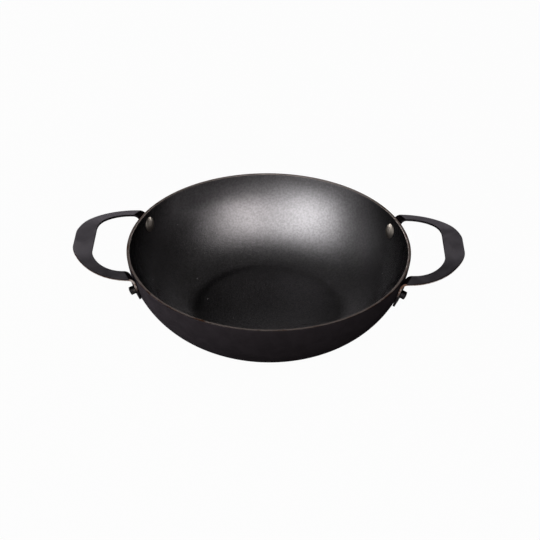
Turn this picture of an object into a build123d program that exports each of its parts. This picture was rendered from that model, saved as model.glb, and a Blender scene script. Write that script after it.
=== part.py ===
"""Two-handled kadai: a pressed iron bowl, two bent plate handles and the four rivets that hold them.

Millimetres, +Z up. The origin is the middle of the base's underside, where the pan stands,
and the handles point along +X and -X.
"""
import os
from math import acos, asin, atan2, cos, degrees, radians, sin, sqrt

from build123d import *

# Bowl, all sizes outside
rim_diameter = 260.0
bowl_height = 72.0
base_flat_diameter = 134.0
base_corner_radius = 30.0
rim_lean_angle = 4.4
wall_thickness = 2.5
rim_edge_round = 0.5

# Rivets, placed round the bowl from the middle of each handle and down from the rim
rivet_bearing_angle = 24.3
rivet_depth = 13.0
low_rivet_bearing_angle = 23.6
low_rivet_depth = 15.2
shank_diameter = 5.5
shank_clearance = 0.1
head_diameter = 14.0
head_height = 2.4
head_edge_height = 0.6
tail_diameter = 7.5
tail_length = 5.1
tail_crown_height = 0.7
tail_edge_round = 0.6

# Handle plate
plate_thickness = 2.0
plate_edge_round = 0.4
handle_reach = 48.0
grip_width = 18.5
grip_rise = 3.9
grip_end_straight = 21.0
grip_corner_radius = 24.0
finger_gap_length = 93.2
leg_width = 11.0
leg_straight = 0.8

# The grip is level across its middle, and the legs slope down from it on either side
arch_flat_length = 48.0
arch_bend_radius = 77.0
leg_drop_angle = 8.8

# Each leg folds down into a tab that lies flat against the wall
fold_radius = 4.0
tab_end_distance = 6.4
long_tab_end_distance = 9.4
tab_corner_radius = 1.5
tab_standoff = 0.05

# Construction aids: how far cuts overrun, and the steps that the fold is drawn in
overrun = 5.0
fold_steps = 6

# The legs were set by hand: bearing and depth of each rivet, and how far its tab runs past it
legs = {
    "right_back": (low_rivet_bearing_angle, low_rivet_depth, tab_end_distance),
    "right_front": (rivet_bearing_angle, rivet_depth, long_tab_end_distance),
    "left_back": (rivet_bearing_angle, rivet_depth, tab_end_distance),
    "left_front": (rivet_bearing_angle, rivet_depth, tab_end_distance),
}

rim_radius = rim_diameter / 2
grip_end_x = rim_radius + handle_reach
grip_inner_x = grip_end_x - grip_width
grip_top_z = bowl_height + grip_rise
gap_half = finger_gap_length / 2
leg_outer_y = gap_half + leg_width
drop = radians(leg_drop_angle)

# The wall is one arc, tangent to the base corner's arc, that reaches the rim at its lean
lean = radians(rim_lean_angle)
corner_centre = Vector(base_flat_diameter / 2, base_corner_radius)
rim_point = Vector(rim_radius, bowl_height)
rim_normal = Vector(cos(lean), -sin(lean))
corner_to_rim = rim_point - corner_centre
wall_radius = (corner_to_rim.length**2 - base_corner_radius**2) / (
    2 * (corner_to_rim.dot(rim_normal) - base_corner_radius)
)
wall_centre = rim_point - rim_normal * wall_radius


def profile_arcs(inset):
    """The base corner's arc and the wall's arc, inset from the outer face, from the base up."""
    wall = wall_radius - inset
    join = degrees(atan2(corner_centre.Y - wall_centre.Y, corner_centre.X - wall_centre.X))
    rim = degrees(asin((bowl_height - wall_centre.Y) / wall))
    corner_arc = CenterArc(corner_centre, base_corner_radius - inset, -90, join + 90)
    wall_arc = CenterArc(wall_centre, wall, join, rim - join)
    return corner_arc, wall_arc


def turned(section_lines, plane):
    """Solid turned about a plane's Z axis from a closed half section drawn in its X and Z."""
    section = Plane.XZ * make_face(section_lines)
    return plane * revolve(section, Axis.Z)


def make_bowl(rivet_planes):
    """Pressed bowl of one thickness with a flat base and a flat-cut rim, holed for the rivets."""
    outer_corner, outer_wall = profile_arcs(0)
    inner_corner, inner_wall = profile_arcs(wall_thickness)
    section = [
        Line((0, 0), outer_corner @ 0),
        outer_corner,
        outer_wall,
        Line(outer_wall @ 1, inner_wall @ 1),
        inner_wall,
        inner_corner,
        Line(inner_corner @ 0, (0, wall_thickness)),
        Line((0, wall_thickness), (0, 0)),
    ]
    bowl = turned(section, Plane.XY)
    bowl = fillet(bowl.edges().group_by(Axis.Z)[-1], rim_edge_round)
    hole_radius = shank_diameter / 2 + shank_clearance
    for plane in rivet_planes:
        bowl -= plane * Cylinder(hole_radius, 2 * (wall_thickness + overrun))
    return bowl


def wall_plane(bearing, depth):
    """Plane on the wall's outer face at a rivet: X runs level round the wall, Z points out."""
    height = bowl_height - depth
    rise = height - wall_centre.Y
    spread = sqrt(wall_radius**2 - rise**2)
    radius = wall_centre.X + spread
    turn = radians(bearing)
    return Plane(
        origin=(radius * cos(turn), radius * sin(turn), height),
        x_dir=(-sin(turn), cos(turn), 0),
        z_dir=(spread * cos(turn), spread * sin(turn), rise),
    )


def make_rivet(plane, bowl):
    """One rivet: a domed head on the wall's inner face, the shank, and a round tail on the tab."""
    head_radius = head_diameter / 2
    shank_radius = shank_diameter / 2
    tail_radius = tail_diameter / 2
    seat = -wall_thickness
    head_edge = seat - head_edge_height
    tail_start = tab_standoff + plate_thickness
    tail_end = tail_start + tail_length
    tail_shoulder = tail_end - tail_crown_height
    dome_height = head_height - head_edge_height
    dome_radius = (head_radius**2 + dome_height**2) / (2 * dome_height)
    crown_radius = (tail_radius**2 + tail_crown_height**2) / (2 * tail_crown_height)
    section = [
        RadiusArc((0, seat - head_height), (head_radius, head_edge), -dome_radius),
        Polyline(
            (head_radius, head_edge),
            (head_radius, seat),
            (shank_radius, seat),
            (shank_radius, tail_start),
            (tail_radius, tail_start),
            (tail_radius, tail_shoulder),
        ),
        RadiusArc((tail_radius, tail_shoulder), (0, tail_end), -crown_radius),
        Line((0, tail_end), (0, seat - head_height)),
    ]
    rivet = turned(section, plane)
    outward = Axis(plane.origin, plane.z_dir)
    tail_edge = rivet.edges().filter_by(lambda edge: edge.is_closed).sort_by(outward)[-1]
    return fillet(tail_edge, tail_edge_round) - bowl


class LegFold:
    """Where one leg folds down to its tab: the fold's axis, its angle and the directions beside it."""

    def __init__(self, rivet_plane):
        self.rivet = rivet_plane
        leg_normal = Vector(0, sin(drop), cos(drop))
        tab_normal = rivet_plane.z_dir
        self.along = leg_normal.cross(tab_normal).normalized()
        self.away = self.along.cross(leg_normal)
        self.down = self.along.cross(tab_normal)
        facing = leg_normal.dot(tab_normal)
        self.angle = acos(-facing)
        leg_top = Vector(0, arch_flat_length / 2, grip_top_z) + arch_bend_radius * Vector(
            0, sin(drop), cos(drop) - 1
        )
        under_leg = leg_normal.dot(leg_top) - plate_thickness - fold_radius
        tab_face = tab_normal.dot(rivet_plane.origin) + tab_standoff + plate_thickness + fold_radius
        spread = 1 - facing**2
        self.centre = (
            leg_normal * ((under_leg - facing * tab_face) / spread)
            + tab_normal * ((tab_face - facing * under_leg) / spread)
            + self.along * self.along.dot(rivet_plane.origin)
        )
        self.leg_normal = leg_normal
        self.leg_top = leg_normal.dot(leg_top)

    def edge_x(self, y):
        """X at which the leg's top face meets its fold, at a given Y."""
        z = (self.leg_top - y * self.leg_normal.Y) / self.leg_normal.Z
        reach = self.away.dot(self.centre) - self.away.Y * y - self.away.Z * z
        return reach / self.away.X


def plate_outline(fold):
    """Half of the handle's outline seen from above, from its middle line to inside one fold."""
    start_x = rim_radius - leg_width
    shoulder_x = fold.edge_x(leg_outer_y) + leg_straight
    gap_arc_x = fold.edge_x(gap_half) + leg_straight
    gap_radius = grip_inner_x - gap_arc_x
    corner_x = grip_end_x - grip_corner_radius
    corner_y = grip_end_straight / 2
    rise = leg_outer_y - corner_y
    run = corner_x - shoulder_x
    shoulder_radius = (run**2 / (rise - grip_corner_radius) + rise + grip_corner_radius) / 2
    shoulder_centre = Vector(shoulder_x, leg_outer_y - shoulder_radius)
    join = degrees(atan2(corner_y - shoulder_centre.Y, run))
    corner = CenterArc((corner_x, corner_y), grip_corner_radius, 0, join)
    shoulder = CenterArc(shoulder_centre, shoulder_radius, join, 90 - join)
    gap = CenterArc((gap_arc_x, gap_half - gap_radius), gap_radius, 90, -90)
    return make_face([
        Line((grip_inner_x, 0), (grip_end_x, 0)),
        Line((grip_end_x, 0), corner @ 0),
        corner,
        shoulder,
        Polyline(shoulder @ 1, (start_x, leg_outer_y), (start_x, gap_half), gap @ 0),
        gap,
        Line(gap @ 1, (grip_inner_x, 0)),
    ])


def arched_sheet():
    """Half of the sheet seen along X: level at the middle, then a bend, then the sloping leg."""
    flat_y = arch_flat_length / 2
    leg_end = (leg_outer_y + overrun) * Vector(cos(drop), -sin(drop))
    centre = (flat_y, grip_top_z - arch_bend_radius)
    top_bend = CenterArc(centre, arch_bend_radius, 90, -leg_drop_angle)
    under_bend = CenterArc(centre, arch_bend_radius - plate_thickness, 90, -leg_drop_angle)
    section = make_face([
        Line((0, grip_top_z), top_bend @ 0),
        top_bend,
        Polyline(
            top_bend @ 1,
            top_bend @ 1 + leg_end,
            under_bend @ 1 + leg_end,
            under_bend @ 1,
        ),
        under_bend,
        Polyline(under_bend @ 0, (0, grip_top_z - plate_thickness), (0, grip_top_z)),
    ])
    return extrude(Plane.YZ * section, grip_end_x + overrun)


def tab_trim(fold, slant, tab_start, tab_end):
    """Block that a tab is trimmed to: the strip's width, with round corners at the free end."""
    half_width = leg_width / fold.along.Y / 2
    free_end = Vector(slant * tab_end, -tab_end)
    folded_end = Vector(-slant, 1) * (tab_start + overrun)
    side = Vector(half_width, 0)
    outline = make_face(
        Polyline(free_end - side, free_end + side, folded_end + side, folded_end - side, close=True)
    )
    outline = fillet(outline.vertices().group_by(Axis.Y)[0], tab_corner_radius)
    tab_plane = Plane(origin=fold.rivet.origin, x_dir=fold.along, z_dir=fold.rivet.z_dir)
    return extrude(tab_plane * outline, plate_thickness + overrun, both=True)


def make_half_handle(bearing, depth, tab_end):
    """The +Y half of the +X handle: arched plate, fold, and tab with the rivet's hole."""
    rivet_plane = wall_plane(bearing, depth)
    fold = LegFold(rivet_plane)
    plate = arched_sheet() & extrude(plate_outline(fold), grip_top_z + overrun)
    side_edges = plate.edges().filter_by(
        lambda edge: abs(edge.tangent_at(0.5).Z) < sin(radians(45)) and edge.center().Y > overrun / 2
    )
    plate = fillet(side_edges, plate_edge_round)
    cut = Plane(origin=fold.centre, x_dir=fold.along, z_dir=fold.away)
    plate = split(plate, bisect_by=cut, keep=Keep.TOP)
    leg_end = plate.faces().sort_by(Axis(fold.centre, fold.away))[0]

    # The strip runs on round the fold at a slant, so that the tab's middle meets the rivet
    middle_radius = fold_radius + plate_thickness / 2
    tab_start = fold.down.dot(rivet_plane.origin - fold.centre)
    shift = fold.along.dot(rivet_plane.origin - leg_end.center())
    slant = shift / (middle_radius * fold.angle + tab_start)
    fold_axis = Axis(fold.centre, fold.along)
    sections = []
    for step in range(fold_steps + 1):
        turn = fold.angle * step / fold_steps
        slide = fold.along * (slant * middle_radius * turn)
        sections.append(Pos(slide) * leg_end.rotate(fold_axis, -degrees(turn)))
    bend = loft(sections)
    tab_slope = fold.down + fold.along * slant
    tab = extrude(sections[-1], (tab_start + tab_end) * tab_slope.length, dir=tab_slope.normalized())
    tab &= tab_trim(fold, slant, tab_start, tab_end)
    hole_radius = shank_diameter / 2 + shank_clearance
    hole = rivet_plane * Cylinder(hole_radius, 2 * (tab_standoff + plate_thickness + overrun))
    return plate + bend + tab - hole


def make_handle(near_leg, far_leg):
    """A handle as it lies at +X, from the sizes of its leg at +Y and of its leg at -Y."""
    return make_half_handle(*near_leg) + mirror(make_half_handle(*far_leg), Plane.XZ)


def main():
    os.makedirs("parts", exist_ok=True)
    rivet_planes = {}
    for name, (bearing, depth, _) in legs.items():
        turn_for_side = {
            "right_back": bearing,
            "right_front": -bearing,
            "left_back": 180 - bearing,
            "left_front": 180 + bearing,
        }
        rivet_planes[name] = wall_plane(turn_for_side[name], depth)
    bowl = make_bowl(rivet_planes.values())
    parts = {
        "bowl": bowl,
        "right_handle": make_handle(legs["right_back"], legs["right_front"]),
        "left_handle": Rot(0, 0, 180) * make_handle(legs["left_front"], legs["left_back"]),
    }
    for name, plane in rivet_planes.items():
        parts[f"{name}_rivet"] = make_rivet(plane, bowl)
    for name, part in parts.items():
        export_step(part, f"parts/{name}.step")


main()
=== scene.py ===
"""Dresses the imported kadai: bowl, handles and rivets as smooth surfaces with iron and steel finishes.

Metres, +Z up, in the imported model's frame: the origin is the middle of the base's underside.
The handles point along +X (right) and -X (left), and the camera looks along +Y (back).
"""
from math import acos, asin, atan2, cos, pi, radians, sin, sqrt

import bpy
import numpy as np
from bpy.props import FloatProperty, FloatVectorProperty, PointerProperty
from mathutils import Matrix, Vector


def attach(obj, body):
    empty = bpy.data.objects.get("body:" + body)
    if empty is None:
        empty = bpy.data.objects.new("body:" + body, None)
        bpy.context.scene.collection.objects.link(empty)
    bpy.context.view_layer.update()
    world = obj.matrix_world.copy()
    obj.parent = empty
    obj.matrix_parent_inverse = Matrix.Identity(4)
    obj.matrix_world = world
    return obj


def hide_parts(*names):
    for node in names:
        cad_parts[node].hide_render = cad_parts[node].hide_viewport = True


bl_info = {
    "name": "Kadai",
    "version": (1, 0, 0),
    "blender": (4, 5, 0),
    "location": "View3D > Sidebar > Kadai",
    "description": "Builds an iron kadai with riveted plate handles on its packed model",
    "category": "Add Mesh",
}

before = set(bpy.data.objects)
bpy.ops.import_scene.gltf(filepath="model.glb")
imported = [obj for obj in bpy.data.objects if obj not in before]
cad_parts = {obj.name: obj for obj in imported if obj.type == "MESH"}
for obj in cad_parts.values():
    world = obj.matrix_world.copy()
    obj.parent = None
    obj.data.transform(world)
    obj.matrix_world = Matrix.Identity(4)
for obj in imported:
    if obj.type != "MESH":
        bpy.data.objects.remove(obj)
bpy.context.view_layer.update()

# Steps of the bowl's mesh: round it, then along each stretch of its section.
BOWL_ROUND = 320
BASE_STEPS = 24
CORNER_STEPS = 16
WALL_STEPS = 90
RIM_STEPS = 6
EDGE_STEPS = 8

# Points along the handle's outline, before it is cut into even steps.
STRAIGHT_POINTS = 8
CURVE_POINTS = 400
GRIP_CORNER_POINTS = 100

# Steps of half a handle's mesh: along its plate, fold and tab, and round its section.
PLATE_STEPS = 90
FOLD_STEPS = 25
TAB_STEPS = 16
TAB_CORNER_STEPS = 14
PLATE_EDGE_STEPS = 6
PLATE_SIDE_STEPS = 5
PLATE_FACE_PLACES = (0, 0.03, 0.1, 0.2, 0.35, 0.5, 0.65, 0.8, 0.9, 0.97, 1)

# Steps of a rivet's mesh. Its sides: the head's edge and seat, the shank, the tail's face and edge.
RIVET_ROUND = 96
DOME_STEPS = 24
RIVET_SIDE_STEPS = (3, 5, 8, 4, 10)
CROWN_STEPS = 16


def length(name, description, default):
    """A size in metres for a property group."""
    return FloatProperty(
        name=name, description=description, default=default, unit="LENGTH", precision=5
    )


def angle(name, description, default):
    """An angle for a property group, given in degrees and kept in radians."""
    return FloatProperty(
        name=name, description=description, default=radians(default), unit="ROTATION", subtype="ANGLE"
    )


def share(name, description, default):
    """A share from 0 to 1 for a property group."""
    return FloatProperty(name=name, description=description, default=default, min=0, max=1)


def amount(name, description, default):
    """A plain number for a property group."""
    return FloatProperty(name=name, description=description, default=default, min=0)


def colour(name, description, default):
    """A linear colour for a property group."""
    return FloatVectorProperty(
        name=name, description=description, default=default, subtype="COLOR", min=0, max=1
    )


def lamp_way(name, bearing, elevation):
    """A lamp's direction, given in degrees and kept in radians."""
    return FloatVectorProperty(
        name=name, description="Bearing from the front towards the right, and elevation above level",
        default=(radians(bearing), radians(elevation)), size=2, unit="ROTATION",
    )


def lamp_size(name, width, height):
    """A lamp's width and height in metres."""
    return FloatVectorProperty(
        name=name, description="Width and height", default=(width, height), size=2, unit="LENGTH"
    )


class KadaiBowlSizes(bpy.types.PropertyGroup):
    """Sizes of the pressed bowl."""

    rim_diameter: length("Rim diameter", "Across the rim, outside", 0.26)
    height: length("Height", "From the base to the rim", 0.072)
    base_diameter: length("Base diameter", "Across the flat that the pan stands on", 0.134)
    base_corner_radius: length("Base corner radius", "Between the flat and the wall, outside", 0.03)
    rim_lean: angle("Rim lean", "The wall's lean from upright at the rim", 4.4)
    wall_thickness: length("Wall thickness", "Of the pressed sheet", 0.0025)
    rim_edge_round: length("Rim edge round", "Rounding of the cut rim's two edges", 0.0005)


class KadaiHandleSizes(bpy.types.PropertyGroup):
    """Sizes of a handle, which is one bent plate."""

    plate_thickness: length("Plate thickness", "Of the handle's plate", 0.002)
    plate_edge_round: length("Edge round", "Rounding of the plate's edges", 0.0004)
    reach: length("Reach", "How far the handle reaches past the rim", 0.048)
    grip_width: length("Grip width", "Of the plate at the grip", 0.0185)
    grip_rise: length("Grip rise", "Of the grip's top above the rim", 0.0039)
    grip_end_straight: length("Straight end", "Length of the grip's straight outer edge", 0.021)
    grip_corner_radius: length("Grip corner radius", "Beside the straight end", 0.024)
    finger_gap_length: length("Finger gap length", "Between the two legs", 0.0932)
    leg_width: length("Leg width", "Of the plate at its legs", 0.011)
    leg_straight: length("Leg straight", "From the fold to where the leg curves", 0.0008)
    arch_flat_length: length("Level length", "Of the grip's level middle", 0.048)
    arch_bend_radius: length("Arch bend radius", "Of the bend down to the legs", 0.077)
    leg_drop: angle("Leg drop", "Slope of the legs down from the grip", 8.8)
    fold_radius: length("Fold radius", "Inside, where a leg folds down", 0.004)
    tab_end: length("Tab end", "How far a tab runs past its rivet", 0.0064)
    long_tab_end: length("Long tab end", "The same on the right handle's front tab", 0.0094)
    tab_corner_radius: length("Tab corner radius", "At a tab's free end", 0.0015)
    tab_standoff: length("Tab standoff", "Between a tab and the wall", 0.00005)


class KadaiRivetSizes(bpy.types.PropertyGroup):
    """Places and sizes of the four rivets."""

    bearing: angle("Bearing", "From the middle of the handle, round the bowl", 24.3)
    depth: length("Depth", "Below the rim", 0.013)
    low_bearing: angle("Low rivet's bearing", "Of the right handle's back rivet", 23.6)
    low_depth: length("Low rivet's depth", "Of the right handle's back rivet", 0.0152)
    shank_diameter: length("Shank diameter", "Across the shank", 0.0055)
    head_diameter: length("Head diameter", "Across the head inside the bowl", 0.014)
    head_height: length("Head height", "Of the head over the wall", 0.0024)
    head_edge_height: length("Head edge height", "Of the head's upright edge", 0.0006)
    tail_diameter: length("Tail diameter", "Across the tail outside", 0.0075)
    tail_length: length("Tail length", "Of the tail past the tab", 0.0051)
    tail_crown_height: length("Tail crown", "Height of the tail's domed end", 0.0007)
    tail_edge_round: length("Tail edge round", "Rounding of the tail's end", 0.0006)


class KadaiFinishes(bpy.types.PropertyGroup):
    """Colours, shine, wear and painted shade of the iron and the steel."""

    iron: colour("Iron", "Seasoned iron of the bowl's inside", (0.265, 0.257, 0.265))
    outer_black: colour("Outer black", "Dark skin of the bowl's outside", (0.0142, 0.0119, 0.0134))
    handle_iron: colour("Handle iron", "Mill scale on the handles", (0.155, 0.144, 0.158))
    # Bare metal of the cut rim and worn edges; along the handles' folds and tabs it is also a painted
    # highlight.
    bare_edge_and_highlight: colour("Worn edge", "Bare metal on edges", (0.36, 0.31, 0.29))
    # Black of the handles' sides, and painted shade over the handles' folds and tabs.
    side_and_shade_black: colour("Blackened", "Sooty scale on the handles' sides and tabs", (0.013, 0.011, 0.0125))
    rust: colour("Rust", "Brown stains on the cut rim and edges", (0.15, 0.085, 0.06))
    rivet_steel: colour("Rivet steel", "Polished heads inside the bowl", (0.29, 0.26, 0.23))
    tail_steel: colour("Tail steel", "Dull tails outside", (0.012, 0.011, 0.012))
    iron_roughness: share("Iron roughness", "Of the bowl's inside", 0.34)
    skin_roughness: share("Skin roughness", "Of the bowl's outside", 0.65)
    rim_roughness: share("Rim roughness", "Of the cut rim", 0.5)
    # Painted shade: these four shares darken the bowl's inside below the handles, on its floor, round
    # it and below the rim.
    side_painted_shade: share("Side blackness", "How much blacker the seasoning is below the handles", 0.92)
    floor_painted_shade: share("Floor blackness", "The same on the bowl's floor", 0.35)
    ring_painted_shade: share("Ring blackness", "The same round the floor, at the back and left", 0.6)
    band_painted_shade: share("Band blackness", "The same below the rim, on the left", 0.5)
    iron_edge_tint: share("Iron edge tint", "Glancing shine that the bowl's inside keeps", 0.05)
    edge_tint: share("Edge tint", "The same for the handles and rivets", 0.3)
    grain: length("Grain", "Width of a grain in the bowl's skin", 0.0009)


class KadaiStage(bpy.types.PropertyGroup):
    """The camera, the floor and the lamps."""

    aim: FloatVectorProperty(
        name="Aim", description="What the camera looks at", default=(0.0013, 0, 0.0448), unit="LENGTH"
    )
    distance: length("Distance", "From the camera to its aim", 1.2975)
    azimuth: angle("Azimuth", "The camera's turn about the pan", 0.52)
    elevation: angle("Elevation", "The camera's height above level", 34.615)
    roll: angle("Roll", "The camera's tilt", 0.673)
    lens: amount("Lens", "Focal length in millimetres", 93.31)
    sensor: amount("Sensor", "Sensor width in millimetres", 36.0)
    floor_size: length("Floor size", "Side of the square floor", 8.0)
    floor_paleness: share("Floor paleness", "How much light the floor sends back", 0.3)
    backdrop_share: share("Backdrop share", "How far the floor is lifted to the backdrop's white", 0.97)
    ceiling: share("Ceiling", "Light of the room overhead and in front, where the backdrop is 1", 0.012)
    lamp_distance: length("Lamp distance", "From each softbox to the camera's aim", 1.7)
    plain_tint: colour("Plain tint", "Colour of every softbox without its own", (1.0, 1.0, 1.0))
    right_way: lamp_way("Right key direction", 24, 38)
    right_power: amount("Right key power", "Watts", 15.2)
    right_size: lamp_size("Right key size", 1.0, 1.6)
    right_tint: colour("Right key tint", "Slightly warm", (1.0, 0.965, 0.955))
    left_way: lamp_way("Left key direction", -40, 34)
    left_power: amount("Left key power", "Watts", 22.6)
    left_size: lamp_size("Left key size", 1.0, 1.8)
    low_way: lamp_way("Low lamp direction", -18, 20)
    low_power: amount("Low lamp power", "Watts", 2.7)
    low_size: lamp_size("Low lamp size", 0.5, 0.5)
    fill_way: lamp_way("Fill direction", -100, 14)
    fill_power: amount("Fill power", "Watts", 2.0)
    fill_size: lamp_size("Fill size", 0.6, 0.6)
    side_way: lamp_way("Side strip direction", -95, -0.2)
    side_power: amount("Side strip power", "Watts", 46.0)
    side_size: lamp_size("Side strip size", 1.2, 0.05)
    side_tint: colour("Side strip tint", "Slightly cold", (0.94, 0.97, 1.0))
    rear_left_way: lamp_way("Rear left direction", -140, 8)
    rear_left_power: amount("Rear left power", "Watts", 18.0)
    rear_right_way: lamp_way("Rear right direction", 140, 8)
    rear_right_power: amount("Rear right power", "Watts", 8.0)
    rear_size: lamp_size("Rear lamps' size", 1.0, 0.5)


def arc(centre, radius, start, end, count):
    """Points on a circle's arc: centre plus radius times (cos, sin) of evenly spaced angles."""
    turn = np.linspace(start, end, count)
    return np.stack([centre[0] + radius * np.cos(turn), centre[1] + radius * np.sin(turn)], axis=1)


def line(start, end, count):
    """Evenly spaced points from start up to, and not at, the end."""
    place = np.linspace(0, 1, count, endpoint=False)[:, None]
    return np.array(start) * (1 - place) + np.array(end) * place


def travelled(points):
    """How far along a chain of points each one is: the sum of the steps before it."""
    return np.concatenate([[0], np.cumsum(np.hypot(*np.diff(points, axis=0).T))])


def evenly(points, count):
    """A chain of points cut again into even steps of its length."""
    far = travelled(points)
    wanted = np.linspace(0, far[-1], count)
    return np.stack([np.interp(wanted, far, part) for part in points.T], axis=1)


def turned_about_z(profile, count):
    """Each profile point (r, z) carried round Z: (r cos t, r sin t, z) for count even turns t."""
    turn = np.linspace(0, 2 * pi, count, endpoint=False)
    radius, height = profile.T[:, :, None]
    return np.stack([radius * np.cos(turn), radius * np.sin(turn), height + 0 * turn], axis=2)


def added(name, data):
    """A new object in the scene, with the given mesh, light or camera."""
    made = bpy.data.objects.new(name, data)
    bpy.context.scene.collection.objects.link(made)
    return made


def closed_skin(name, rings, masks):
    """One closed mesh from a stack of closed rings, each joined to the next, with a pole at each end.

    rings is (stack, round, 3). The first and last rings are closed on their own middle points.
    masks holds each named vertex attribute as an array that spreads to (stack, round).
    """
    stack, around = rings.shape[:2]
    points = np.concatenate([rings.reshape(-1, 3), rings[:1].mean(1), rings[-1:].mean(1)])
    index = np.arange(stack * around).reshape(stack, around)
    onward = np.roll(index, -1, axis=1)
    quads = np.stack([index[:-1], onward[:-1], onward[1:], index[1:]], axis=2).reshape(-1, 4)
    start = np.stack([np.full(around, index.size), onward[0], index[0]], axis=1)
    end = np.stack([np.full(around, index.size + 1), index[-1], onward[-1]], axis=1)
    # Six times the volume behind the quads is below 0 where they face inwards.
    a, b, c, d = (points[quads[:, k]] for k in range(4))
    volume = np.einsum("ij,ij->", a, np.cross(b, c) + np.cross(c, d))
    if volume < 0:
        quads, start, end = quads[:, ::-1], start[:, ::-1], end[:, ::-1]
    mesh = bpy.data.meshes.new(name)
    faces = [*quads.tolist(), *start.tolist(), *end.tolist()]
    mesh.from_pydata(points.tolist(), [], faces, shade_flat=False)
    mesh.validate()
    for mask_name, mask in masks.items():
        spread = np.broadcast_to(mask, (stack, around))
        values = np.concatenate([spread.ravel(), spread[:1].mean(1), spread[-1:].mean(1)])
        attribute = mesh.attributes.new(mask_name, "FLOAT", "POINT")
        attribute.data.foreach_set("value", values.astype(np.float32))
    return added(name, mesh)


def seat(piece, node, material):
    """Gives a piece its material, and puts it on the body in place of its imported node."""
    piece.data.materials.append(material)
    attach(piece, "root")
    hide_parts(node)


class Wall:
    """The bowl's outer section: a flat base, a corner arc, and one wall arc from there to the rim.

    The wall's arc ends at the rim with the rim's lean and runs smoothly into the corner's arc. Its
    centre is one radius inward from the rim, and from the corner's centre by the radii's difference.
    """

    def __init__(self, sizes):
        self.height = sizes.height
        self.corner_radius = sizes.base_corner_radius
        self.corner = Vector((sizes.base_diameter / 2, sizes.base_corner_radius))
        rim = Vector((sizes.rim_diameter / 2, sizes.height))
        normal = Vector((cos(sizes.rim_lean), -sin(sizes.rim_lean)))
        to_rim = rim - self.corner
        inward = to_rim.dot(normal) - self.corner_radius
        self.radius = (to_rim.length_squared - self.corner_radius**2) / (2 * inward)
        self.centre = rim - normal * self.radius
        self.join = atan2(self.corner.y - self.centre.y, self.corner.x - self.centre.x)

    def rivet_plane(self, bearing, depth):
        """Matrix on the wall's outer face at a rivet: X level round the wall, Y up it, Z outward."""
        height = self.height - depth
        rise = height - self.centre.y
        spread = sqrt(self.radius**2 - rise**2)
        around = self.centre.x + spread
        out = Vector((spread * cos(bearing), spread * sin(bearing), rise)).normalized()
        level = Vector((-sin(bearing), cos(bearing), 0))
        plane = Matrix((level, out.cross(level), out)).transposed().to_4x4()
        plane.translation = Vector((around * cos(bearing), around * sin(bearing), height))
        return plane


def bowl_profile(sizes):
    """The bowl's half section (r, z) and its masks, from the underside's middle to the floor's middle.

    It runs out over the flat, up the corner's and the wall's arcs, over the rim's two rounded edges,
    and back along the same arcs with radii less by the wall's thickness. The first mask is 0 outside
    and 1 inside, rising over the rim, and the second is 1 on the rim alone.
    """
    wall = Wall(sizes)
    thick = sizes.wall_thickness
    edge = sizes.rim_edge_round
    flat = sizes.base_diameter / 2
    first_step = flat / BASE_STEPS
    shoulder = sizes.height - edge
    outer_end = asin((shoulder - wall.centre.y) / wall.radius)
    inner_end = asin((shoulder - wall.centre.y) / (wall.radius - thick))
    outer_rim = wall.centre.x + wall.radius * cos(outer_end)
    inner_rim = wall.centre.x + (wall.radius - thick) * cos(inner_end)
    outer = np.concatenate([
        line((first_step, 0), (flat, 0), BASE_STEPS),
        arc(wall.corner, wall.corner_radius, -pi / 2, wall.join, CORNER_STEPS)[:-1],
        arc(wall.centre, wall.radius, wall.join, outer_end, WALL_STEPS),
    ])
    rim = np.concatenate([
        arc((outer_rim - edge, shoulder), edge, 0, pi / 2, EDGE_STEPS)[1:],
        line((outer_rim - edge, sizes.height), (inner_rim + edge, sizes.height), RIM_STEPS)[1:],
        arc((inner_rim + edge, shoulder), edge, pi / 2, pi, EDGE_STEPS)[:-1],
    ])
    inner = np.concatenate([
        arc(wall.centre, wall.radius - thick, inner_end, wall.join, WALL_STEPS),
        arc(wall.corner, wall.corner_radius - thick, wall.join, -pi / 2, CORNER_STEPS)[1:],
        line((flat, thick), (first_step, thick), BASE_STEPS)[1:],
    ])
    inside = np.concatenate([np.zeros(len(outer)), np.linspace(0, 1, len(rim)), np.ones(len(inner))])
    cut = np.concatenate([np.zeros(len(outer)), np.ones(len(rim)), np.zeros(len(inner))])
    return np.concatenate([outer, rim, inner]), inside, cut


class KADAI_OT_bowl(bpy.types.Operator):
    """Turns the bowl's section about its axis, with a flat base and a flat-cut rim"""

    bl_idname = "kadai.bowl"
    bl_label = "Bowl"

    def execute(self, context):
        profile, inside, cut = bowl_profile(context.scene.kadai_bowl)
        rings = turned_about_z(profile, BOWL_ROUND)
        piece = closed_skin("bowl_skin", rings, {"inside": inside[:, None], "cut_rim": cut[:, None]})
        seat(piece, "bowl", bowl_finish(context.scene.kadai_finishes))
        return {"FINISHED"}


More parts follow.
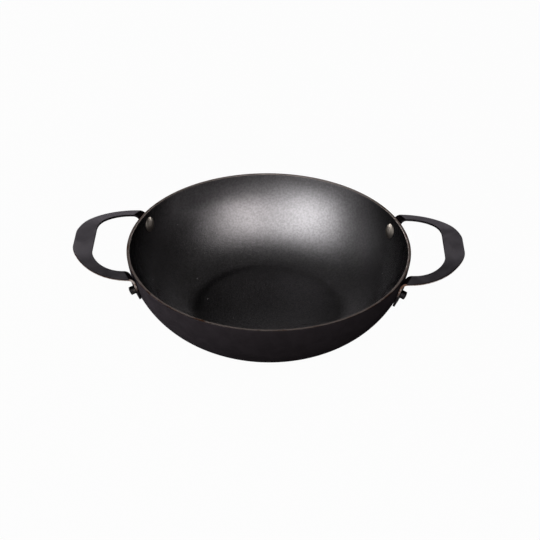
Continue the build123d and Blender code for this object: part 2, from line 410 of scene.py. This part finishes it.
class LegFold:
    """Where one leg folds down to its tab, worked out in the +X, +Y quarter.

    The fold's axis runs along both the leg and the tab. It lies a fold radius below the leg's
    underside and a fold radius outside the tab, so two plane equations give its place.
    """

    def __init__(self, sizes, grip_top, plane):
        drop = sizes.leg_drop
        self.rivet = plane.translation
        tab_normal = plane.col[2].to_3d()
        self.leg_normal = Vector((0, sin(drop), cos(drop)))
        self.along = self.leg_normal.cross(tab_normal).normalized()
        self.away = self.along.cross(self.leg_normal)
        self.down = self.along.cross(tab_normal)
        facing = self.leg_normal.dot(tab_normal)
        self.angle = acos(-facing)
        bend = sizes.arch_bend_radius
        leg_point = Vector((0, sizes.arch_flat_length / 2 + bend * sin(drop), 0))
        leg_point.z = grip_top - bend * (1 - cos(drop))
        self.leg_top = self.leg_normal.dot(leg_point)
        under_leg = self.leg_top - sizes.plate_thickness - sizes.fold_radius
        tab_face = tab_normal.dot(self.rivet) + sizes.tab_standoff + sizes.plate_thickness
        tab_face += sizes.fold_radius
        spread = 1 - facing**2
        self.centre = (
            self.leg_normal * ((under_leg - facing * tab_face) / spread)
            + tab_normal * ((tab_face - facing * under_leg) / spread)
            + self.along * self.along.dot(self.rivet)
        )
        self.middle_radius = sizes.fold_radius + sizes.plate_thickness / 2

    def edge_x(self, y):
        """X at which the leg's top face meets its fold, at a given Y."""
        z = (self.leg_top - y * self.leg_normal.y) / self.leg_normal.z
        return (self.away.dot(self.centre) - self.away.y * y - self.away.z * z) / self.away.x

    def folded(self, ring, turn):
        """The leg's end ring turned about the fold's axis, towards the tab."""
        centre = np.array(self.centre)
        rotation = np.array(Matrix.Rotation(-turn, 3, self.along))
        return (ring - centre) @ rotation.T + centre


def plan_edges(bowl, sizes, fold):
    """The plate's inner and outer edges (x, y) seen from above, from the fold to the middle line.

    The inner edge is a straight, a quarter circle into the grip, and a straight. The outer edge is
    a straight, a shoulder arc that runs smoothly into the grip's corner arc, and the straight end.
    """
    end_x = bowl.rim_diameter / 2 + sizes.reach
    inner_x = end_x - sizes.grip_width
    gap_half = sizes.finger_gap_length / 2
    outer_y = gap_half + sizes.leg_width
    gap_start = fold.edge_x(gap_half)
    gap_arc_x = gap_start + sizes.leg_straight
    gap_radius = inner_x - gap_arc_x
    inner = np.concatenate([
        line((gap_start, gap_half), (gap_arc_x, gap_half), STRAIGHT_POINTS),
        arc((gap_arc_x, gap_half - gap_radius), gap_radius, pi / 2, 0, CURVE_POINTS)[:-1],
        line((inner_x, gap_half - gap_radius), (inner_x, 0), STRAIGHT_POINTS),
        [(inner_x, 0)],
    ])
    shoulder_start = fold.edge_x(outer_y)
    shoulder_x = shoulder_start + sizes.leg_straight
    corner_radius = sizes.grip_corner_radius
    corner_x, corner_y = end_x - corner_radius, sizes.grip_end_straight / 2
    rise, run = outer_y - corner_y, corner_x - shoulder_x
    shoulder_radius = (run**2 / (rise - corner_radius) + rise + corner_radius) / 2
    shoulder_y = outer_y - shoulder_radius
    join = atan2(corner_y - shoulder_y, run)
    outer = np.concatenate([
        line((shoulder_start, outer_y), (shoulder_x, outer_y), STRAIGHT_POINTS),
        arc((shoulder_x, shoulder_y), shoulder_radius, pi / 2, join, CURVE_POINTS)[:-1],
        arc((corner_x, corner_y), corner_radius, join, 0, GRIP_CORNER_POINTS)[:-1],
        line((end_x, corner_y), (end_x, 0), STRAIGHT_POINTS),
        [(end_x, 0)],
    ])
    return evenly(inner, PLATE_STEPS), evenly(outer, PLATE_STEPS)


class Section:
    """The plate's closed cross section: a flat bar with round edges, as places along its round.

    A point lies at fraction * (width - 2 * edge) + edge + over across the plate, and at depth
    below its top. The masks are 1 on both edges, on the outer edge, and at the bottom.
    """

    def __init__(self, thickness, edge):
        flat = np.array(PLATE_FACE_PLACES)
        turn = np.linspace(0, pi / 2, PLATE_EDGE_STEPS)[1:]
        over = edge * np.sin(turn)
        down = edge * (1 - np.cos(turn))
        side = np.linspace(edge, thickness - edge, PLATE_SIDE_STEPS)[1:-1]
        round_over = np.concatenate([over, np.full(len(side), edge), over[::-1]])
        round_down = np.concatenate([down, side, thickness - down[::-1]])
        level, rounded = np.zeros(len(flat)), np.ones(len(round_over))
        self.edge = edge
        self.fraction = np.concatenate([flat, rounded, flat[::-1], 0 * rounded])
        self.over = np.concatenate([level, round_over, level, -round_over])
        self.depth = np.concatenate([level, round_down, level + thickness, round_down[::-1]])
        self.masks = {
            "edge": np.concatenate([level, rounded, level, rounded]),
            "outer": np.concatenate([level, rounded, level, 0 * rounded]),
            "low": self.depth / thickness,
        }


def arch_height(sizes, grip_top, y):
    """Height and slope angle of the plate's top at each y: level, then an arc, then a straight leg."""
    flat, bend, drop = sizes.arch_flat_length / 2, sizes.arch_bend_radius, sizes.leg_drop
    slope = np.arcsin(np.clip((np.abs(y) - flat) / bend, 0, sin(drop)))
    past = np.maximum(np.abs(y) - flat - bend * sin(drop), 0)
    return grip_top - bend * (1 - np.cos(slope)) - past * np.tan(drop), slope


def plate_rings(bowl, sizes, fold, grip_top, section):
    """Sections of the plate from its fold to the handle's middle line, and how far along each is.

    A section's points lie across the plan from its inner to its outer edge, at the arch's height
    there, each sunk by its own depth at right angles to the arch.
    """
    inner, outer = plan_edges(bowl, sizes, fold)
    width = np.hypot(*(outer - inner).T)[:, None]
    across = (outer - inner) / width
    place = section.fraction * (width - 2 * section.edge) + section.edge + section.over
    plan = inner[:, None, :] + across[:, None, :] * place[:, :, None]
    x, y = plan[:, :, 0], plan[:, :, 1]
    height, slope = arch_height(sizes, grip_top, y)
    sunk = [x, y - section.depth * np.sin(slope), height - section.depth * np.cos(slope)]
    return np.stack(sunk, axis=2), travelled((inner + outer) / 2)


def end_inset(travel, reach, radius):
    """How far a bar's side has drawn in at each place near its end, which a quarter circle rounds."""
    past = np.maximum(travel - reach + radius, 0)
    return radius - np.sqrt(radius**2 - past**2)


def tab_rings(sizes, section, first, along, slide, reach):
    """Sections of the tab, and how far along each is, from the fold's last section to the free end.

    Each is that section slid along the tab. It narrows over the free end's round corners, and thins
    over its round edge.
    """
    corner = sizes.tab_corner_radius
    travel = np.concatenate([
        np.linspace(0, reach - corner, TAB_STEPS)[1:],
        reach - corner + corner * np.sin(np.linspace(0, pi / 2, TAB_CORNER_STEPS)[1:]),
    ])
    middle = first.mean(0)
    offset = first - middle
    offset_along = offset @ along
    sideways = offset_along[:, None] * along
    width = offset_along.max() - offset_along.min()
    wide = 1 - 2 * end_inset(travel, reach, corner) / width
    deep = 1 - 2 * end_inset(travel, reach, section.edge) / sizes.plate_thickness
    tab = middle + slide * travel[:, None, None]
    return tab + sideways * wide[:, None, None] + (offset - sideways) * deep[:, None, None], travel


def half_handle_rings(bowl, sizes, rivet_plane, tab_end, section):
    """Rings of the +Y half of the +X handle: tab from its free end, fold, plate to the middle line.

    The fold turns the plate's first section about the fold's axis. It and the tab drift evenly
    along that axis, so that the tab's middle meets the rivet. With the rings comes each one's place
    on the leg: -1 on the plate, rising over a leg's width to 0 where the fold starts, then to 1 at
    the fold's end and 2 at the tab's end.
    """
    grip_top = bowl.height + sizes.grip_rise
    fold = LegFold(sizes, grip_top, rivet_plane)
    plate, before_fold = plate_rings(bowl, sizes, fold, grip_top, section)
    along, down = np.array(fold.along), np.array(fold.down)
    tab_start = fold.down.dot(fold.rivet - fold.centre)
    drift = along @ (np.array(fold.rivet) - plate[0].mean(0))
    drift /= fold.middle_radius * fold.angle + tab_start
    bend = np.stack([
        fold.folded(plate[0], turn) + along * (drift * fold.middle_radius * turn)
        for turn in np.linspace(0, fold.angle, FOLD_STEPS)
    ])
    reach = tab_start + tab_end
    tab, travel = tab_rings(sizes, section, bend[-1], along, down + drift * along, reach)
    leg_place = np.concatenate([
        1 + travel[::-1] / reach,
        np.linspace(1, 0, FOLD_STEPS),
        np.maximum(-before_fold[1:] / sizes.leg_width, -1),
    ])
    return np.concatenate([tab[::-1], bend[::-1], plate[1:]]), leg_place


def mirrored_y(rings):
    """Rings mirrored front to back, taken from the other end."""
    return (rings * np.array([1, -1, 1]))[::-1]


class KADAI_OT_handles(bpy.types.Operator):
    """Carries the plate's round-edged section from one tab over the grip to the other, on each side"""

    bl_idname = "kadai.handles"
    bl_label = "Handles"

    def execute(self, context):
        scene = context.scene
        bowl, sizes, rivets = scene.kadai_bowl, scene.kadai_handle, scene.kadai_rivet
        wall = Wall(bowl)
        section = Section(sizes.plate_thickness, sizes.plate_edge_round)
        usual = wall.rivet_plane(rivets.bearing, rivets.depth)
        low = wall.rivet_plane(rivets.low_bearing, rivets.low_depth)
        plain_leg, leg_place = half_handle_rings(bowl, sizes, usual, sizes.tab_end, section)
        long_leg, _ = half_handle_rings(bowl, sizes, usual, sizes.long_tab_end, section)
        low_leg, _ = half_handle_rings(bowl, sizes, low, sizes.tab_end, section)
        right = np.concatenate([low_leg, mirrored_y(long_leg)[1:]])
        left = np.concatenate([plain_leg, mirrored_y(plain_leg)[1:]]) * np.array([-1, -1, 1])
        tab = np.concatenate([leg_place, leg_place[::-1][1:]])[:, None]
        masks = section.masks | {"tab": tab}
        finish = handle_finish(scene.kadai_finishes)
        for side, rings in (("right", right), ("left", left)):
            piece = closed_skin(f"{side}_handle_plate", rings, masks)
            seat(piece, f"{side}_handle", finish)
        return {"FINISHED"}


def rivet_profile(bowl, handle, sizes):
    """The rivet's half section (r, z) along the outward normal, from the head's crown to the tail's.

    z is 0 on the wall's outer face. Head and tail end in arcs whose radii come from their widths and
    heights: (half width squared + height squared) / (2 * height).
    """
    seat_z = -bowl.wall_thickness
    head, shank, tail = sizes.head_diameter / 2, sizes.shank_diameter / 2, sizes.tail_diameter / 2
    dome, crown = sizes.head_height - sizes.head_edge_height, sizes.tail_crown_height
    dome_radius = (head**2 + dome**2) / (2 * dome)
    crown_radius = (tail**2 + crown**2) / (2 * crown)
    tail_start = handle.tab_standoff + handle.plate_thickness
    dome_z = seat_z - sizes.head_height + dome_radius
    crown_z = tail_start + sizes.tail_length - crown_radius
    head_soft, tail_soft = sizes.head_edge_height / 2, sizes.tail_edge_round
    dome_turn = asin((head - head_soft) / dome_radius)
    crown_turn = asin((tail - tail_soft) / crown_radius)
    dome_points = arc((0, dome_z), dome_radius, -pi / 2, dome_turn - pi / 2, DOME_STEPS)
    crown_points = arc((0, crown_z), crown_radius, pi / 2 - crown_turn, pi / 2, CROWN_STEPS)
    head_corner = dome_points[-1] + (0, head_soft)
    tail_corner = crown_points[0] - (0, tail_soft)
    sides = [
        (head, head_corner[1]), (head, seat_z), (shank, seat_z),
        (shank, tail_start), (tail, tail_start), (tail, tail_corner[1]),
    ]
    stretches = zip(sides, sides[1:], RIVET_SIDE_STEPS)
    return np.concatenate([
        dome_points[1:-1],
        arc(head_corner, head_soft, dome_turn - pi / 2, 0, EDGE_STEPS),
        np.concatenate([line(*stretch) for stretch in stretches])[1:],
        arc(tail_corner, tail_soft, 0, pi / 2 - crown_turn, EDGE_STEPS),
        crown_points[1:-1],
    ])


class KADAI_OT_rivets(bpy.types.Operator):
    """Turns each rivet about the wall's normal: domed head inside, shank, and round tail on the tab"""

    bl_idname = "kadai.rivets"
    bl_label = "Rivets"

    def execute(self, context):
        scene = context.scene
        bowl, handle, sizes = scene.kadai_bowl, scene.kadai_handle, scene.kadai_rivet
        wall = Wall(bowl)
        profile = rivet_profile(bowl, handle, sizes)
        rings = turned_about_z(profile, RIVET_ROUND)
        head = (profile[:, 1] < 0).astype(float)
        finish = rivet_finish(scene.kadai_finishes)
        places = {
            "right_back": (sizes.low_bearing, sizes.low_depth),
            "right_front": (-sizes.bearing, sizes.depth),
            "left_back": (pi - sizes.bearing, sizes.depth),
            "left_front": (pi + sizes.bearing, sizes.depth),
        }
        for name, (bearing, depth) in places.items():
            plane = np.array(wall.rivet_plane(bearing, depth))
            placed = rings @ plane[:3, :3].T + plane[:3, 3]
            piece = closed_skin(f"{name}_stud", placed, {"head": head[:, None]})
            seat(piece, f"{name}_rivet", finish)
        return {"FINISHED"}


class Shade:
    """A varying number in a material: sums on it add Math nodes."""

    def __init__(self, finish, socket):
        self.finish = finish
        self.socket = socket

    def math(self, operation, first, second):
        """One Math node on two numbers, either of which may vary."""
        return self.finish.node("ShaderNodeMath", {0: first, 1: second}, operation=operation)

    def __add__(self, other):
        return self.math("ADD", self, other)

    def __radd__(self, other):
        return self.math("ADD", other, self)

    def __sub__(self, other):
        return self.math("SUBTRACT", self, other)

    def __rsub__(self, other):
        return self.math("SUBTRACT", other, self)

    def __mul__(self, other):
        return self.math("MULTIPLY", self, other)

    def __rmul__(self, other):
        return self.math("MULTIPLY", other, self)

    def __pow__(self, other):
        return self.math("POWER", self, other)

    def __abs__(self):
        return self.math("ABSOLUTE", self, 0.0)

    def at_least(self, other):
        """This number, or another one where that is larger."""
        return self.math("MAXIMUM", self, other)


class Finish:
    """The node tree of a material or of the world, and short ways to add to it."""

    def __init__(self, owner):
        owner.use_nodes = True
        self.owner = owner
        self.tree = owner.node_tree
        self.tree.nodes.clear()

    def node(self, kind, inputs, output=0, **settings):
        """Adds a node, sets it up, fills its sockets with values or links, and returns one output."""
        made = self.tree.nodes.new(kind)
        for name, value in settings.items():
            setattr(made, name, value)
        for name, value in inputs.items():
            if isinstance(value, Shade):
                self.tree.links.new(value.socket, made.inputs[name])
            else:
                made.inputs[name].default_value = value
        return Shade(self, made.outputs[output]) if made.outputs else None

    def place(self):
        """The object's own coordinates, in metres."""
        return self.node("ShaderNodeTexCoord", {}, "Object")

    def parts(self, vector, axes):
        """A place's or direction's part along each of the named axes."""
        return [self.node("ShaderNodeSeparateXYZ", {"Vector": vector}, axis) for axis in axes]

    def masks(self, *names):
        """Mesh attributes, each as a number."""
        return [self.node("ShaderNodeAttribute", {}, "Fac", attribute_name=name) for name in names]

    def noise(self, place, width, detail=2.0, roughness=0.5, distortion=0.0):
        """Soft noise about 0.5, whose lumps are about as wide as given, in metres."""
        sockets = {"Vector": place, "Scale": 1 / width, "Detail": detail}
        sockets |= {"Roughness": roughness, "Distortion": distortion}
        return self.node("ShaderNodeTexNoise", sockets)

    def ramp(self, value, low, high):
        """value taken from low..high to 0..1, clamped, with a smooth start and end."""
        sockets = {"Value": value, "From Min": low, "From Max": high}
        return self.node("ShaderNodeMapRange", sockets, interpolation_type="SMOOTHSTEP")

    def blend(self, factor, low, high):
        """Colour from low to high by a factor."""
        return self.node("ShaderNodeMix", {0: factor, 6: low, 7: high}, 2, data_type="RGBA")

    def mottled(self, factor, tone, darker, lighter):
        """One colour, made darker and lighter from place to place by a factor."""
        return self.blend(factor, scaled(tone, darker), scaled(tone, lighter))

    def seen(self):
        """1 for rays of the camera, and those that metal or glass sends on, and 0 for soft light."""
        kinds = ("Is Camera Ray", "Is Glossy Ray", "Is Transmission Ray")
        camera, glossy, through = (self.node("ShaderNodeLightPath", {}, kind) for kind in kinds)
        return camera.at_least(glossy.at_least(through))

    def bump(self, height, distance):
        """Normal pushed by a height from 0 to 1, which stands for a distance in metres."""
        return self.node("ShaderNodeBump", {"Height": height, "Distance": distance})

    def surface(self, inputs):
        """Ends a material with the one shader that holds its looks."""
        shader = self.node("ShaderNodeBsdfPrincipled", inputs)
        self.node("ShaderNodeOutputMaterial", {"Surface": shader})
        return self.owner


def scaled(tone, factor=1.0):
    """A three-part colour made darker or lighter by a factor, as a colour socket takes it."""
    return (*(factor * part for part in tone), 1.0)


def grey(level):
    """A grey of the given level, as a colour socket takes it."""
    return (level, level, level, 1.0)


def painted_shade_share(finish, place, colours):
    """How much painted shade darkens the bowl's inside at each place, from 0 to 1.

    It is the largest of four shares: to either side below the handles, on the floor, in a ring
    round the floor at the back and left, and in a band below the rim on the left.
    """
    # Where each share fades in or out, in metres: to a side, from the axis, up, right or back.
    side_edge, side_shift = (0.06, 0.115), 0.002
    floor_edge = (0.064, 0.076)
    ring_inner_edge, ring_outer_edge = (0.054, 0.066), (0.067, 0.075)
    band_edge = (0.04, 0.056)
    left_edge, front_edge = (-0.045, 0.035), (-0.035, 0.005)

    across, along, height = finish.parts(place, "XYZ")
    radius = (across * across + along * along) ** 0.5
    sides = finish.ramp(abs(across + side_shift), *side_edge) * colours.side_painted_shade
    floor = (1 - finish.ramp(radius, *floor_edge)) * colours.floor_painted_shade
    left = 1 - finish.ramp(across, *left_edge)
    ring = finish.ramp(radius, *ring_inner_edge) * (1 - finish.ramp(radius, *ring_outer_edge))
    ring = ring * left * finish.ramp(along, *front_edge) * colours.ring_painted_shade
    band = finish.ramp(height, *band_edge) * colours.band_painted_shade * left
    return sides.at_least(floor.at_least(ring.at_least(band)))


def bowl_finish(colours):
    """Seasoned iron: granular satin inside with a few pale specks, matt black outside, a cut rim.

    The inside is iron of uneven tone, with painted shade that makes it blacker below the handles, on
    the floor, round the floor and below the rim. The cut rim is bare grey metal with brown patches,
    and turns black over the outer part of its width.
    """
    speck_spacing, speck_edge, speck_paleness = 1 / 66, (0.024, 0.038), 1.1
    spark_share, painted_shade_iron = 0.7, 0.1
    rim_brown, rim_grey, rim_skin_edge = 0.8, 0.72, (0.15, 0.35)
    cloud_sheen, grain_sheen = 0.08, 0.12
    smear_relief, inner_relief, outer_relief = 0.3, 0.0002, 0.00005

    finish = Finish(bpy.data.materials.new("seasoned_iron"))
    place = finish.place()
    inside, rim = finish.masks("inside", "cut_rim")
    grain = finish.noise(place, colours.grain, detail=2.5, roughness=0.6)
    cloud = finish.noise(place, 0.045, detail=3.0, roughness=0.55)
    smear = finish.noise(place, 0.012, detail=4.0, roughness=0.6, distortion=0.4)
    spark = finish.noise(place, 0.002, detail=1.0)
    scatter = {"Vector": place, "Scale": 1 / speck_spacing}
    speck_gap = finish.node("ShaderNodeTexVoronoi", scatter, "Distance")
    specks = (1 - finish.ramp(speck_gap, *speck_edge)) * inside

    mottle = finish.ramp(cloud * (1 - spark_share) + spark * spark_share, 0.32, 0.68)
    iron = finish.mottled(mottle, colours.iron, darker=0.86, lighter=1.14)
    # Painted shade: the iron is darkened towards a tenth of its colour where the shares say.
    black = painted_shade_share(finish, place, colours)
    iron = finish.blend(black, iron, scaled(colours.iron, painted_shade_iron))
    iron = finish.blend(specks, iron, scaled(colours.iron, speck_paleness))
    skin = finish.mottled(finish.ramp(smear, 0.3, 0.7), colours.outer_black, darker=0.9, lighter=1.15)
    patches = finish.ramp(smear + inside * 0.5, 0.55, 0.75)
    bare = finish.blend(patches, scaled(colours.rust, rim_brown), scaled(colours.bare_edge_and_highlight, rim_grey))
    bare = finish.blend(finish.ramp(inside, *rim_skin_edge), scaled(colours.outer_black), bare)
    roughness = colours.skin_roughness + inside * (colours.iron_roughness - colours.skin_roughness)
    roughness = roughness * (1 - rim) + rim * colours.rim_roughness
    return finish.surface({
        "Base Color": finish.blend(rim, finish.blend(inside, skin, iron), bare),
        "Metallic": (inside + rim * (1 - inside)) * (1 - specks),
        "Roughness": roughness + (cloud - 0.5) * cloud_sheen + (grain - 0.5) * grain_sheen,
        "Specular IOR Level": 0.0,
        "Specular Tint": grey(colours.iron_edge_tint),
        "Normal": finish.bump(grain + smear * smear_relief, inner_relief * inside + outer_relief),
    })


def handle_finish(colours):
    """Mill-scaled plate: soft grey blotches, black sides, painted shade on folds and tabs, bare edges.

    The plate's sides are black, and its outer one has bare metal and rust along the bottom. The folds
    and tabs are darkened with painted shade, and their outer side is pale bare metal from the fold to
    near the free end, partly wear and partly a painted highlight.
    """
    # Places on the leg: 0 where the fold starts, 1 where it ends, and 2 at the tab's free end.
    painted_shade_start, worn_and_highlight_start, worn_and_highlight_end = (-0.03, 0.14), (0.02, 0.15), (1.1, 1.5)
    roughness, blotch_sheen, tooth_sheen = 0.48, 0.2, 0.1
    blotch_relief, relief = 0.5, 0.00004

    finish = Finish(bpy.data.materials.new("scaled_plate"))
    place = finish.place()
    edge, outer, low, tab = finish.masks("edge", "outer", "low", "tab")
    blotch = finish.noise(place, 0.02, detail=3.0, distortion=0.6)
    tooth = finish.noise(place, 0.0011, detail=3.0, roughness=0.6)
    chips = finish.noise(place, 0.004, detail=4.0, roughness=0.7)
    black_and_shade = scaled(colours.side_and_shade_black)
    mottle = finish.ramp(blotch, 0.35, 0.65)
    scale = finish.mottled(mottle, colours.handle_iron, darker=0.88, lighter=1.12)
    # Painted shade: the folds and tabs are darkened to black.
    face = finish.blend(finish.ramp(tab, *painted_shade_start), scale, black_and_shade)
    rusty = finish.ramp(chips, 0.44, 0.56)
    bare = finish.blend(rusty, scaled(colours.bare_edge_and_highlight), scaled(colours.rust))
    bottom = finish.ramp(low, 0.35, 0.6) * finish.ramp(chips, 0.3, 0.42)
    # Partly wear, partly painted highlight: a pale strip on the outer side from the fold to near the
    # tab's end, with wear and rust along the bottom.
    worn_and_highlight = finish.ramp(tab, *worn_and_highlight_start).at_least(bottom)
    worn_and_highlight = worn_and_highlight * (1 - finish.ramp(tab, *worn_and_highlight_end)) * outer
    return finish.surface({
        "Base Color": finish.blend(edge, face, finish.blend(worn_and_highlight, black_and_shade, bare)),
        "Metallic": 1.0,
        "Roughness": roughness + (blotch - 0.5) * blotch_sheen + (tooth - 0.5) * tooth_sheen,
        "Specular Tint": grey(colours.edge_tint),
        "Normal": finish.bump(tooth + blotch * blotch_relief, relief),
    })


def rivet_finish(colours):
    """Steel: heads rubbed bright inside the bowl, tails dark outside with a few scuffs."""
    scuff_paleness = 0.16
    roughness, head_dulling, cloud_sheen = 0.3, 0.08, 0.05
    relief = 0.000008

    finish = Finish(bpy.data.materials.new("rivet_metal"))
    place = finish.place()
    [head] = finish.masks("head")
    cloud = finish.noise(place, 0.004, detail=3.0, roughness=0.6)
    scuff = finish.noise(place, 0.0028)
    tooth = finish.noise(place, 0.0008)
    mottle = finish.ramp(cloud, 0.3, 0.7)
    steel = finish.mottled(mottle, colours.rivet_steel, darker=0.94, lighter=1.0)
    scuffed = scaled(colours.rivet_steel, scuff_paleness)
    dull = finish.blend(finish.ramp(scuff, 0.6, 0.7), scaled(colours.tail_steel), scuffed)
    return finish.surface({
        "Base Color": finish.blend(head, dull, steel),
        "Metallic": 1.0,
        "Roughness": roughness + head * head_dulling + (cloud - 0.5) * cloud_sheen,
        "Specular Tint": grey(colours.edge_tint),
        "Normal": finish.bump(tooth, relief),
    })


def floor_finish(stage):
    """Pale floor: paint that the lamps light, lifted to near white for the camera and shiny metal."""
    finish = Finish(bpy.data.materials.new("pale_floor"))
    paint = finish.node("ShaderNodeBsdfDiffuse", {"Color": grey(stage.floor_paleness)})
    white = finish.node("ShaderNodeEmission", {"Color": grey(1.0)})
    lifted = finish.seen() * stage.backdrop_share
    both = finish.node("ShaderNodeMixShader", {0: lifted, 1: paint, 2: white})
    finish.node("ShaderNodeOutputMaterial", {"Surface": both})
    return finish.owner


def studio_world(stage):
    """White backdrop all round at the horizon and higher up at the back (+Y), under a dark ceiling."""
    # How far up or back a direction points, from 0 for level to 1 for straight up or back.
    horizon_top, backdrop_top, backdrop_side = (0.06, 0.2), (0.34, 0.56), (0.45, 0.8)

    finish = Finish(bpy.data.worlds.new("studio"))
    direction = finish.node("ShaderNodeTexCoord", {}, "Generated")
    back, up = finish.parts(direction, "YZ")
    horizon = 1 - finish.ramp(up, *horizon_top)
    backdrop = (1 - finish.ramp(up, *backdrop_top)) * finish.ramp(back, *backdrop_side)
    tone = finish.blend(horizon.at_least(backdrop), grey(stage.ceiling), grey(1.0))
    sky = finish.node("ShaderNodeBackground", {"Color": tone})
    finish.node("ShaderNodeOutputWorld", {"Surface": sky})
    return finish.owner


def lay_floor(stage):
    """A square floor at the height of the pan's base."""
    half = stage.floor_size / 2
    corners = [(-half, -half, 0), (half, -half, 0), (half, half, 0), (-half, half, 0)]
    mesh = bpy.data.meshes.new("floor")
    mesh.from_pydata(corners, [], [(0, 1, 2, 3)])
    mesh.materials.append(floor_finish(stage))
    floor = added("floor", mesh)


def away_from(aim, bearing, elevation, distance):
    """A point at a distance from the aim, its bearing turned from the front (-Y) to the right (+X)."""
    x, y, z = aim
    flat = distance * cos(elevation)
    return x + flat * sin(bearing), y - flat * cos(bearing), z + distance * sin(elevation)


def softbox(name, power, tint, size, place, aim):
    """An area light of a given width and height at a place, turned to face a point."""
    light = bpy.data.lights.new(name, "AREA")
    light.shape, (light.size, light.size_y) = "RECTANGLE", size
    light.energy, light.color = power, tint
    lamp = added(name, light)
    lamp.location = place
    lamp.rotation_euler = (Vector(place) - Vector(aim)).to_track_quat("Z", "Y").to_euler()
    lamp.visible_camera = False


def light_studio(stage):
    """Two large keys in front, a low lamp, a fill and a floor-level strip on the left, two behind."""
    plain = stage.plain_tint
    lamps = (
        ("right_key", stage.right_way, stage.right_power, stage.right_tint, stage.right_size),
        ("left_key", stage.left_way, stage.left_power, plain, stage.left_size),
        ("low_front", stage.low_way, stage.low_power, plain, stage.low_size),
        ("left_fill", stage.fill_way, stage.fill_power, plain, stage.fill_size),
        ("left_side", stage.side_way, stage.side_power, stage.side_tint, stage.side_size),
        ("rear_left", stage.rear_left_way, stage.rear_left_power, plain, stage.rear_size),
        ("rear_right", stage.rear_right_way, stage.rear_right_power, plain, stage.rear_size),
    )
    for name, way, power, tint, size in lamps:
        softbox(name, power, tint, size, away_from(stage.aim, *way, stage.lamp_distance), stage.aim)


def set_camera(stage):
    """The camera, turned about Z, raised above level and rolled, then drawn back from its aim."""
    data = bpy.data.cameras.new("photo_view")
    data.lens, data.sensor_width, data.sensor_fit = stage.lens, stage.sensor, "HORIZONTAL"
    camera = added("photo_view", data)
    turn = (
        Matrix.Rotation(stage.azimuth, 4, "Z")
        @ Matrix.Rotation(pi / 2 - stage.elevation, 4, "X")
        @ Matrix.Rotation(stage.roll, 4, "Z")
    )
    back = turn.col[2].to_3d() * stage.distance
    camera.matrix_world = Matrix.Translation(Vector(stage.aim) + back) @ turn
    bpy.context.scene.camera = camera


class KADAI_OT_stage(bpy.types.Operator):
    """Sets the floor, the studio's light and the camera of the photograph"""

    bl_idname = "kadai.stage"
    bl_label = "Stage"

    def execute(self, context):
        stage = context.scene.kadai_stage
        lay_floor(stage)
        context.scene.world = studio_world(stage)
        light_studio(stage)
        set_camera(stage)
        context.scene.view_settings.view_transform = "Standard"
        return {"FINISHED"}


class KADAI_PT_sidebar(bpy.types.Panel):
    """Lists the kadai's pieces, its sizes, its finishes and its stage"""

    bl_idname = "KADAI_PT_sidebar"
    bl_label = "Kadai"
    bl_space_type = "VIEW_3D"
    bl_region_type = "UI"
    bl_category = "Kadai"

    def draw(self, context):
        for operator in OPERATORS:
            self.layout.operator(operator.bl_idname)
        for group_name, group in GROUPS.items():
            box = self.layout.box()
            for name in group.__annotations__:
                box.prop(getattr(context.scene, group_name), name)


OPERATORS = (KADAI_OT_bowl, KADAI_OT_handles, KADAI_OT_rivets, KADAI_OT_stage)
GROUPS = {
    "kadai_bowl": KadaiBowlSizes,
    "kadai_handle": KadaiHandleSizes,
    "kadai_rivet": KadaiRivetSizes,
    "kadai_finishes": KadaiFinishes,
    "kadai_stage": KadaiStage,
}
CLASSES = (*GROUPS.values(), *OPERATORS, KADAI_PT_sidebar)


def register():
    """Registers every class, and hangs the property groups on the scene."""
    for each in CLASSES:
        bpy.utils.register_class(each)
    for name, group in GROUPS.items():
        setattr(bpy.types.Scene, name, PointerProperty(type=group))


def unregister():
    """Takes the property groups off the scene, and unregisters every class."""
    for name in GROUPS:
        delattr(bpy.types.Scene, name)
    for each in CLASSES:
        bpy.utils.unregister_class(each)


def main():
    """Builds the kadai and its stage."""
    register()
    bpy.ops.kadai.bowl()
    bpy.ops.kadai.handles()
    bpy.ops.kadai.rivets()
    bpy.ops.kadai.stage()


if __name__ == "__main__":
    main()
